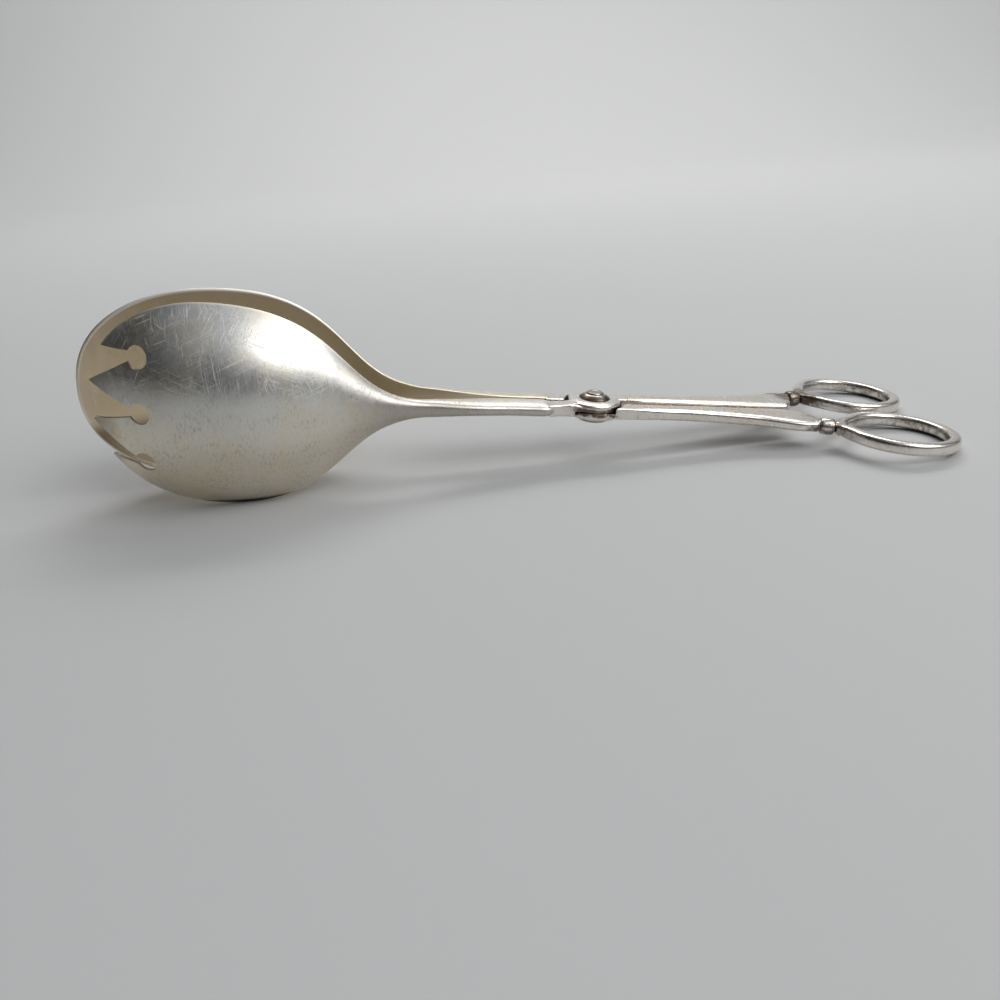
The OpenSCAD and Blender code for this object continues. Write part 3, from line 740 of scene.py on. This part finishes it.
# %% Colours, nodes and scales
def linear(hex_colour):
    """An sRGB hex colour as linear RGBA."""
    parts = [int(hex_colour[i:i + 2], 16) / 255 for i in (1, 3, 5)]
    return (*[c / 12.92 if c <= 0.04045 else ((c + 0.055) / 1.055) ** 2.4 for c in parts], 1.0)


def add(tree, kind, links=None, **settings):
    """Adds a node with its settings, and links or sets its inputs."""
    node = tree.nodes.new(kind)
    for key, value in settings.items():
        setattr(node, key, value)
    for socket, value in (links or {}).items():
        if isinstance(value, bpy.types.NodeSocket):
            tree.links.new(value, node.inputs[socket])
        else:
            node.inputs[socket].default_value = value
    return node


def per_mm(size_mm):
    """Texture scale for a feature of that size, with coordinates in metres."""
    return 1000.0 / size_mm


print("a pattern of 2 mm has scale", per_mm(2))

# %% Hairline scratches
MIX_COLOUR, SMOOTH = {"data_type": "RGBA", "blend_type": "MIX"}, {"interpolation_type": "SMOOTHSTEP"}
TIMES, LARGER, TIMES_PLUS = [{"operation": name} for name in ("MULTIPLY", "MAXIMUM", "MULTIPLY_ADD")]
# Direction of the scratches in radians, and the size of their patches in mm
SCRATCH_LAYERS = ((0.35, 14.0), (-0.55, 11.0), (1.1, 16.0), (-1.25, 12.0), (0.05, 19.0))
SCRATCH_MM, TURN_AXIS = (0.28, 5, 11), (0.0, 1.0, 0.0)


def hairlines(tree, where):
    """Scratches some 10 mm long, in soft patches that each have one direction.

    Real ones are 0.02 mm wide. These are drawn at about 0.15 mm, because finer ones would not show.
    """
    lines = None
    for turn, patch_mm in SCRATCH_LAYERS:
        turned = add(tree, "ShaderNodeVectorRotate", {"Vector": where, "Angle": turn, "Axis": TURN_AXIS})
        turned = turned.outputs["Vector"]
        drawn = add(tree, "ShaderNodeMapping", {"Vector": turned, "Scale": [per_mm(d) for d in SCRATCH_MM]})
        grain = add(tree, "ShaderNodeTexNoise",
                    {"Vector": drawn.outputs["Vector"], "Scale": 1.0, "Detail": 1.0})
        line = add(tree, "ShaderNodeMapRange",
                   {"Value": grain.outputs["Fac"], "From Min": 0.62, "From Max": 0.7})
        patch = add(tree, "ShaderNodeTexNoise", {"Vector": turned, "Scale": per_mm(patch_mm), "Detail": 1.0})
        here = add(tree, "ShaderNodeMapRange",
                   {"Value": patch.outputs["Fac"], "From Min": 0.42, "From Max": 0.62})
        line = add(tree, "ShaderNodeMath", {0: line.outputs["Result"], 1: here.outputs["Result"]}, **TIMES)
        line = line.outputs[0]
        if lines is None:
            lines = line
        else:
            lines = add(tree, "ShaderNodeMath", {0: lines, 1: line}, **LARGER).outputs[0]
    return lines


print("scratches in", len(SCRATCH_LAYERS), "directions")

# %% What a bowl's numbers do to its plate
RIM_COLOUR, RIM_ROUGH, WALL_DIRT_AND_SHADE_SHARE = "#F2ECDF", 0.5, 0.8
# How much rougher each mark makes the plate
ROUGHER = {"film": 0.05, "hollow": 0.14, "stain": 0.12, "grime_and_shade": 0.2}


def bowl_wear_and_shade(tree, colour, rough_now, grime_and_shade, gilt, shade, tip):
    """Colour and roughness under the marks on a bowl's points and faces."""
    hollow, heel, rim, tips, wall, low_hollow_shade = [
        add(tree, "ShaderNodeAttribute", attribute_name=name).outputs["Fac"]
        for name in ("hollow", "heel", "rim", "tips", "wall", "low_hollow_shade")]
    # Slot walls take grime, and the low hollow takes painted shade, both in the same dark colour
    wall_dirt_and_low_shade = add(tree, "ShaderNodeMath", {0: wall, 1: low_hollow_shade}, **LARGER).outputs[0]
    wall_dirt_and_low_shade = add(tree, "ShaderNodeMath", {0: wall_dirt_and_low_shade, 1: WALL_DIRT_AND_SHADE_SHARE}, **TIMES).outputs[0]
    # The heel of the hollow is painted darker in the shade colour, as the shade that falls deep in it
    painted_heel_shade = add(tree, "ShaderNodeMath", {0: hollow, 1: heel}, **TIMES).outputs[0]
    # The hollow's yellow film colour is also painted lighter, most in the spoon, to stand in for light the
    # hollow lacks
    for share, tint in ((tips, tip), (hollow, gilt), (wall_dirt_and_low_shade, grime_and_shade), (painted_heel_shade, shade), (rim, RIM_COLOUR)):
        colour = add(tree, "ShaderNodeMix", {0: share, 6: colour, 7: linear(tint)}, **MIX_COLOUR).outputs[2]
    rougher = add(tree, "ShaderNodeMath", {0: hollow, 1: ROUGHER["hollow"], 2: rough_now}, **TIMES_PLUS)
    rubbed = add(tree, "ShaderNodeMix", {0: rim, 2: rougher.outputs[0], 3: RIM_ROUGH}, data_type="FLOAT")
    return colour, rubbed.outputs[0]


print("rougher by", ROUGHER)

# %% Film and flecks over the polished metal
LOW_FILM, FLECK_MM = 0.5, (0.4, 0.6, 1.6)


def filmed_plate(tree, where, polished, film, grime_and_shade, film_share):
    """Colour of the plate under its film and dark flecks of dirt, and the film's mask."""
    # Film in clouds about 22 mm across, with more of it where a bowl's numbers say so
    clouds = add(tree, "ShaderNodeTexNoise",
                 {"Vector": where, "Scale": per_mm(22), "Detail": 5.0, "Roughness": 0.62})
    clouded = add(tree, "ShaderNodeMapRange",
                  {"Value": clouds.outputs["Fac"], "From Min": 0.6 - 0.4 * film_share,
                   "From Max": 0.95 - 0.4 * film_share}, **SMOOTH)
    filmed = add(tree, "ShaderNodeAttribute", attribute_name="filmed")
    film_mask = add(tree, "ShaderNodeMath",
                    {0: filmed.outputs["Fac"], 1: LOW_FILM, 2: clouded.outputs["Result"]},
                    use_clamp=True, **TIMES_PLUS).outputs[0]
    colour = add(tree, "ShaderNodeMix", {0: film_mask, 6: linear(polished), 7: linear(film)}, **MIX_COLOUR)

    # Flecks about half a millimetre wide, thicker in patches of 8 mm
    stroke = add(tree, "ShaderNodeMapping", {"Vector": where, "Scale": [per_mm(d) for d in FLECK_MM]})
    flecks = add(tree, "ShaderNodeTexNoise",
                 {"Vector": stroke.outputs["Vector"], "Scale": 1.0, "Detail": 2.0, "Roughness": 0.7})
    fleck = add(tree, "ShaderNodeMapRange",
                {"Value": flecks.outputs["Fac"], "From Min": 0.5, "From Max": 0.75, "To Max": 0.45})
    patches = add(tree, "ShaderNodeTexNoise",
                  {"Vector": where, "Scale": per_mm(8), "Detail": 3.0, "Roughness": 0.6})
    thick = add(tree, "ShaderNodeMapRange",
                {"Value": patches.outputs["Fac"], "From Min": 0.4, "From Max": 0.62,
                 "To Min": 0.15, "To Max": 1.0})
    fleck = add(tree, "ShaderNodeMath", {0: fleck.outputs["Result"], 1: thick.outputs["Result"]}, **TIMES)
    colour = add(tree, "ShaderNodeMix",
                 {0: fleck.outputs[0], 6: colour.outputs[2], 7: linear(grime_and_shade)}, **MIX_COLOUR)
    return colour.outputs[2], film_mask


print("flecks of", FLECK_MM, "mm")

# %% Stain by the joints, and grime and painted shade in the crevices
STAIN_COLOUR, SHUT_IN_MM = "#54402F", 2.5


def stained_plate(tree, specks, colour, rough_now, grime_and_shade):
    """Colour and roughness under brown stain in blotches, and over it dirt and painted shade where the
    surface is shut in.
    """
    stain = add(tree, "ShaderNodeAttribute", attribute_name="stain")
    blotch = add(tree, "ShaderNodeMapRange",
                 {"Value": specks, "From Min": 0.34, "From Max": 0.62, "To Min": 0.15, "To Max": 1.0})
    stain = add(tree, "ShaderNodeMath", {0: stain.outputs["Fac"], 1: blotch.outputs["Result"]}, **TIMES)
    stain = add(tree, "ShaderNodeMapRange",
                {"Value": stain.outputs[0], "From Min": 0.05, "From Max": 0.6, "To Max": 0.88}, **SMOOTH)
    # Ambient occlusion paints shade into crevices and into gaps between parts, along with the grime there
    shut_in = add(tree, "ShaderNodeAmbientOcclusion", {"Distance": SHUT_IN_MM * MM}, samples=12)
    crevice_dirt_and_shade = add(tree, "ShaderNodeMapRange",
                {"Value": shut_in.outputs["AO"], "From Min": 0.3, "From Max": 0.8,
                 "To Min": 1.0, "To Max": 0.0}, **SMOOTH)
    for mask, tint, amount in ((stain, STAIN_COLOUR, ROUGHER["stain"]), (crevice_dirt_and_shade, grime_and_shade, ROUGHER["grime_and_shade"])):
        share = mask.outputs["Result"]
        colour = add(tree, "ShaderNodeMix", {0: share, 6: colour, 7: linear(tint)}, **MIX_COLOUR).outputs[2]
        rough_now = add(tree, "ShaderNodeMath", {0: share, 1: amount, 2: rough_now}, **TIMES_PLUS).outputs[0]
    return colour, rough_now


print("grime within", SHUT_IN_MM, "mm")

# %% One worn silver plate, set for each kind of piece
SCRATCH_CUT, BUMP_MM = -0.25, 0.3


def silver_plate(name, polished, film, grime_and_shade, rough, film_share, scratch, dents, bare=None, marks=None):
    """Worn silver plate: polished metal, a warm film, scratches, flecks, stain, and dirt and painted shade in
    the crevices.
    """
    material = bpy.data.materials.new(name)
    material.use_nodes = True
    tree = material.node_tree
    shader = tree.nodes["Principled BSDF"]
    shader.inputs["Metallic"].default_value = 1.0
    where = add(tree, "ShaderNodeTexCoord").outputs["Object"]
    colour, film_mask = filmed_plate(tree, where, polished, film, grime_and_shade, film_share)

    # Specks of about 2 mm break up what follows: plate worn through to the body, roughness and stain
    specks = add(tree, "ShaderNodeTexNoise",
                 {"Vector": where, "Scale": per_mm(2), "Detail": 4.0, "Roughness": 0.65}).outputs["Fac"]
    if bare:
        worn = add(tree, "ShaderNodeMapRange",
                   {"Value": specks, "From Min": 0.45, "From Max": 0.75, "To Max": 0.6}, **SMOOTH)
        colour = add(tree, "ShaderNodeMix",
                     {0: worn.outputs["Result"], 6: colour, 7: linear(bare)}, **MIX_COLOUR).outputs[2]
    lines = hairlines(tree, where)
    rough_now = add(tree, "ShaderNodeMapRange",
                    {"Value": specks, "From Min": 0.3, "From Max": 0.7, "To Min": rough - 0.04,
                     "To Max": rough + 0.05}).outputs["Result"]
    for share, amount in ((film_mask, ROUGHER["film"]), (lines, scratch)):
        rough_now = add(tree, "ShaderNodeMath", {0: share, 1: amount, 2: rough_now}, **TIMES_PLUS).outputs[0]
    if marks:
        colour, rough_now = bowl_wear_and_shade(tree, colour, rough_now, grime_and_shade, **marks)
    colour, rough_now = stained_plate(tree, specks, colour, rough_now, grime_and_shade)
    tree.links.new(colour, shader.inputs["Base Color"])
    tree.links.new(rough_now, shader.inputs["Roughness"])

    # Shallow dents about 9 mm across, and the scratches as cuts
    hammered = add(tree, "ShaderNodeTexNoise", {"Vector": where, "Scale": per_mm(9), "Detail": 2.0})
    dented = add(tree, "ShaderNodeMath", {0: hammered.outputs["Fac"], 1: dents}, **TIMES)
    relief = add(tree, "ShaderNodeMath",
                 {0: lines, 1: SCRATCH_CUT * scratch, 2: dented.outputs[0]}, **TIMES_PLUS)
    bump = add(tree, "ShaderNodeBump",
               {"Height": relief.outputs[0], "Strength": 0.35, "Distance": BUMP_MM * MM})
    tree.links.new(bump.outputs["Normal"], shader.inputs["Normal"])
    print("material", name, len(tree.nodes), "nodes")
    return material


# %% Finishes on the pieces
FINISH = {
    # Scratched most, so it scatters the light into a soft grey sheen
    "fork_plate": silver_plate(
        "polished silver plate, scratched", polished="#E4E3DE", film="#E7DDC7", grime_and_shade="#4A4036", rough=0.35,
        film_share=0.45, scratch=0.26, dents=1.0,
        marks={"gilt": "#E6DDC9", "shade": "#BDAC8E", "tip": "#8F8780"}),
    # Left to yellow, so its mirror is warm
    "spoon_plate": silver_plate(
        "silver plate with a yellow film", polished="#DDD6C6", film="#D6C8AA", grime_and_shade="#6A5A42", rough=0.3,
        film_share=0.6, scratch=0.2, dents=1.0,
        marks={"gilt": "#F6ECD8", "shade": "#DACBAB", "tip": "#DDD6C6"}),
    # Rubbed by fingers, so it is the brightest mirror, and the pinker body shows through in specks
    "handle_plate": silver_plate(
        "silver plate on cast nickel silver", polished="#ECE8E2", film="#E2D6C9", grime_and_shade="#2E2620", rough=0.2,
        film_share=0.5, scratch=0.08, dents=0.3, bare="#DFCCBE"),
    # Seldom polished round the rivet, so it is a dark mirror
    "pivot_plate": silver_plate(
        "tarnished plate at the pivot", polished="#B9B5AE", film="#7E766D", grime_and_shade="#1B1714", rough=0.18,
        film_share=0.6, scratch=0.08, dents=0.3)}
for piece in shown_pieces():
    piece.data.materials.clear()
    piece.data.materials.append(FINISH[piece["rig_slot"]])

# %% [markdown]
# ## Floor and light
# A plain pale floor sweeps up behind the tongs. One large soft light stands to the right and in front, so the
# fork mirrors it high on its right side, and a weaker one behind lights the upper edges. A third lights the
# sweep, which the flat tops of the arms mirror. The room is dim on the left and low in front, and lighter on
# the right, because polished metal looks like metal only when it has something dark and something light to
# mirror.

# %% Floor with a sweep
FLOOR_HALF, SWEEP_Y, SWEEP_R, SWEEP_TOP = 4.0, 0.9, 0.6, 3.0
bend = [(SWEEP_Y + SWEEP_R * math.sin(a), SWEEP_R - SWEEP_R * math.cos(a))
        for a in np.linspace(0.1, math.pi / 2, 14)]
sweep_points = []
for y, z in [(-FLOOR_HALF, 0.0), (SWEEP_Y, 0.0), *bend, (SWEEP_Y + SWEEP_R, SWEEP_TOP)]:
    sweep_points += [(-FLOOR_HALF, y, z), (FLOOR_HALF, y, z)]
sweep_faces = [(i, i + 1, i + 3, i + 2) for i in range(0, len(sweep_points) - 2, 2)]
floor_mesh = raw_mesh("floor", sweep_points, sweep_faces)
floor_mesh.polygons.foreach_set("use_smooth", [True] * len(floor_mesh.polygons))
floor = bpy.data.objects.new("floor", floor_mesh)
bpy.context.scene.collection.objects.link(floor)
paper = bpy.data.materials.new("pale paper")
paper.use_nodes = True
paper_shader = paper.node_tree.nodes["Principled BSDF"]
paper_shader.inputs["Base Color"].default_value = linear("#B9B9B8")
paper_shader.inputs["Roughness"].default_value = 0.9
floor_mesh.materials.append(paper)
print("floor", len(sweep_faces), "faces")

# %% Soft lights
TONGS, BACKDROP = (-0.03, 0.0, 0.03), (0.3, 1.45, 0.4)


def soft_light(name, aim, azimuth, elevation, distance, width, height, watts):
    """A soft box that faces its aim, from a direction in degrees: azimuth 0 is the camera's side."""
    a, e = math.radians(azimuth), math.radians(elevation)
    towards = Vector((math.sin(a) * math.cos(e), -math.cos(a) * math.cos(e), math.sin(e)))
    data = bpy.data.lights.new(name, "AREA")
    data.shape = "RECTANGLE"
    data.size, data.size_y, data.energy = width, height, watts
    lamp = bpy.data.objects.new(name, data)
    lamp.location = Vector(aim) + towards * distance
    lamp.rotation_euler = towards.to_track_quat("Z", "Y").to_euler()
    bpy.context.scene.collection.objects.link(lamp)


soft_light("soft box", TONGS, azimuth=52, elevation=43, distance=1.2, width=0.95, height=0.75, watts=8.0)
soft_light("back light", TONGS, azimuth=165, elevation=50, distance=1.3, width=0.9, height=0.5, watts=5.0)
soft_light("backdrop light", BACKDROP, azimuth=0, elevation=50, distance=1.0, width=2.0, height=0.6,
           watts=13.0)
print("lights", [light.name for light in bpy.data.lights])

# %% Room
# An axis, where the light along it starts and stops to change, and its level before and after
ROOM = {"across": ("X", -0.8, 0.6, 0.05, 0.75), "upward": ("Z", 0.1, 0.9, 0.3, 1.0),
        "in_front": ("Y", -0.9, -0.3, 0.8, 0.0), "low_down": ("Z", 0.1, 0.55, 1.0, 0.0)}
room = bpy.data.worlds.new("room")
room.use_nodes = True
bpy.context.scene.world = room
sky = room.node_tree
direction = add(sky, "ShaderNodeSeparateXYZ", {0: add(sky, "ShaderNodeTexCoord").outputs["Generated"]})
share = {}
for name, (axis, start, stop, before, after) in ROOM.items():
    share[name] = add(sky, "ShaderNodeMapRange",
                      {"Value": direction.outputs[axis], "From Min": start, "From Max": stop,
                       "To Min": before, "To Max": after}, **SMOOTH).outputs["Result"]
dim = add(sky, "ShaderNodeMath", {0: share["in_front"], 1: share["low_down"]}, **TIMES)
lit = add(sky, "ShaderNodeMath", {0: 1.0, 1: dim.outputs[0]}, operation="SUBTRACT")
level = add(sky, "ShaderNodeMath", {0: share["across"], 1: share["upward"]}, **TIMES)
level = add(sky, "ShaderNodeMath", {0: level.outputs[0], 1: lit.outputs[0]}, **TIMES)
sky.links.new(level.outputs[0], sky.nodes["Background"].inputs["Strength"])
sky.nodes["Background"].inputs["Color"].default_value = linear("#F4F8FF")
bpy.context.scene.view_settings.view_transform = "Standard"
print("room", len(sky.nodes), "nodes")

# %% [markdown]
# ## Camera
# The camera looks down at the tongs from the fork's side, close by, as a hand-held one does. Its place and
# turn come from fitting the outlines of the rings, the pivot and the bowls.

# %% Camera
EYE, TURN_DEG = (-0.02821, -0.27223, 0.11008), (65.6873, 3.8277, -5.9015)
# The focal length is a share of the sensor's width
SENSOR_MM, FOCAL_SHARE, NEAREST = 36.0, 0.927164, 0.01
lens = bpy.data.cameras.new("camera")
lens.sensor_width = SENSOR_MM
lens.lens = SENSOR_MM * FOCAL_SHARE
lens.clip_start = NEAREST
camera = bpy.data.objects.new("camera", lens)
turn = Euler([math.radians(d) for d in TURN_DEG])
camera.matrix_world = Matrix.LocRotScale(Vector(EYE), turn, None)
bpy.context.scene.collection.objects.link(camera)
bpy.context.scene.camera = camera
print("camera at", EYE, "turned by", TURN_DEG)
